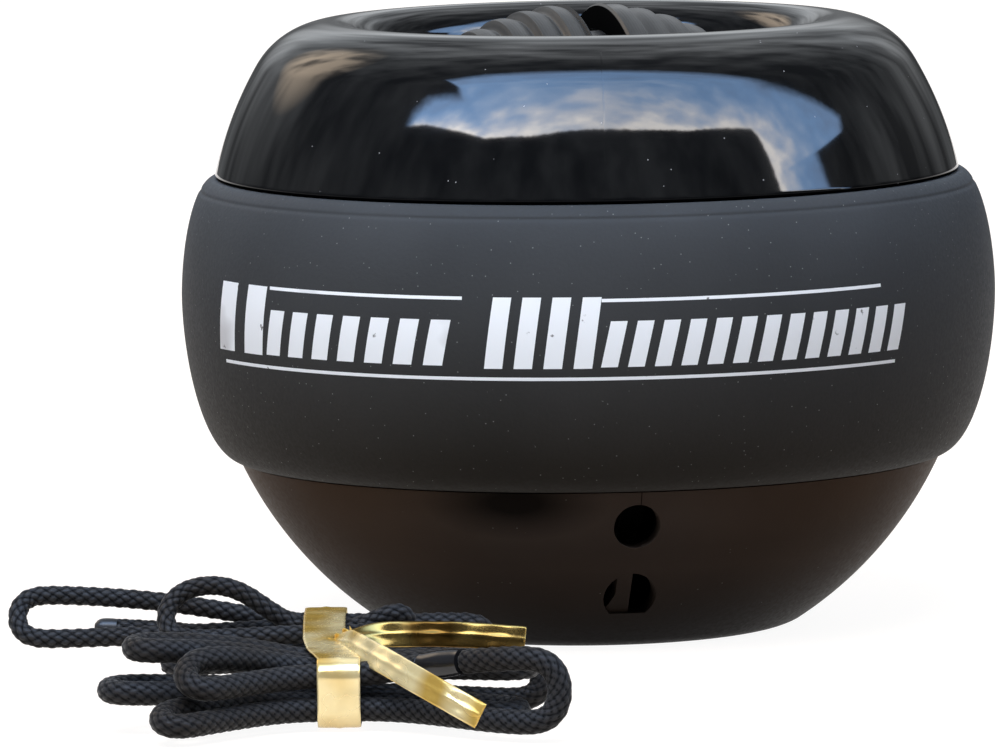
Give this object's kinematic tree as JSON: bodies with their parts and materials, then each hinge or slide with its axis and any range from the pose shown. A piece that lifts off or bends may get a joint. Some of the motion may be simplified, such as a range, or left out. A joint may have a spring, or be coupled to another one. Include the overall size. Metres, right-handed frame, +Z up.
{
  "type": "gyroscopic wrist ball",
  "caption": "Hand-held gyroscopic wrist exerciser: round two-shell ball with a rubber grip band and a free-spinning rotor in its open mouth, with starter cord and wrist strap.",
  "frame": {"origin": "centre of the ball's flat foot, on the surface that it stands on", "axes": "+Z up along the ball's upright axis through the mouth, -Y towards the side with the strap holes and the two cords"},
  "size_m": [0.0869, 0.1163, 0.0557],
  "materials": {
    "gloss_shell": "high gloss black",
    "satin_shell": "satin brownish black",
    "band_rubber": "matte near-black with thin white print",
    "acetal": "moulded",
    "nylon": "moulded",
    "steel": "ground",
    "washer_nylon": "moulded",
    "weight": "machined dark",
    "rotor_plastic": "satin dark grey",
    "cord": "braided black",
    "cord_end": "melted end",
    "strap": "braided black",
    "sleeve": "smooth shrink sleeve",
    "foil": "shiny gold foil over a wire"
  },
  "bodies": {
    "shell": {"upper_shell": "gloss_shell", "lower_shell": "satin_shell", "grip_band": "band_rubber", "race_upper": "acetal", "race_lower": "acetal", "starter_cord_hank": "cord", "starter_cord_tip": "cord_end", "wrist_strap_hank": "strap", "strap_sleeve": "sleeve", "twist_tie": "foil"},
    "cradle": {"cradle_ring": "nylon"},
    "rotor": {"axle": "steel", "axle_washer_right": "washer_nylon", "axle_washer_left": "washer_nylon", "rotor_core": "weight", "rotor_cover_right": "rotor_plastic", "rotor_cover_left": "rotor_plastic"}
  },
  "joints": [
    {"name": "cradle_turn", "type": "hinge", "parent": "shell", "child": "cradle", "pos_m": [0, 0, 0.0295], "axis": [0, 0, 1], "continuous": true},
    {"name": "rotor_spin", "type": "hinge", "parent": "cradle", "child": "rotor", "pos_m": [0, 0, 0.0295], "axis": [0.9755, 0.2198, 0], "continuous": true}
  ]
}
